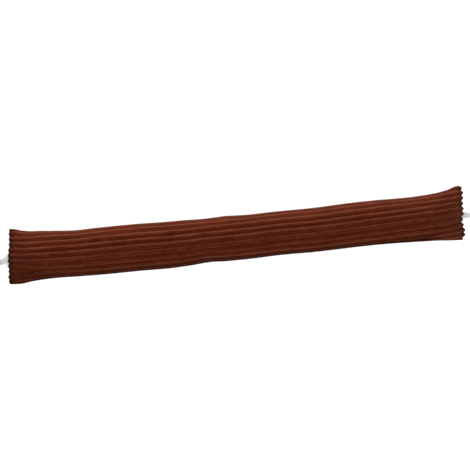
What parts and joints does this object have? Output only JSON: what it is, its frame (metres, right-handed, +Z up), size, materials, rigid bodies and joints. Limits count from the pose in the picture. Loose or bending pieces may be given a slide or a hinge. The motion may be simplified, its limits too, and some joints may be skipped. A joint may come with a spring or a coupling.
{
  "type": "draught excluder",
  "caption": "Long filled tube of wide-ribbed cord cloth, sewn flat across its ends with a short tape loop in each end seam, laid along the foot of a door to stop a draught.",
  "frame": {"origin": "on the floor, under the middle of the bounding box", "axes": "+X along the tube towards its right end seam as pictured, +Y across it towards the edge that is uppermost in the picture, +Z up from the floor"},
  "size_m": [0.9376, 0.1134, 0.0631],
  "materials": {
    "cord_cloth": "rust-brown wide-ribbed cotton corduroy, matt in the grooves with a soft pile sheen on the ribs",
    "tape": "pale grey woven cotton tape, matt"
  },
  "bodies": {
    "root": {"cover": "cord_cloth", "loop_left": "tape", "loop_right": "tape"}
  },
  "joints": []
}
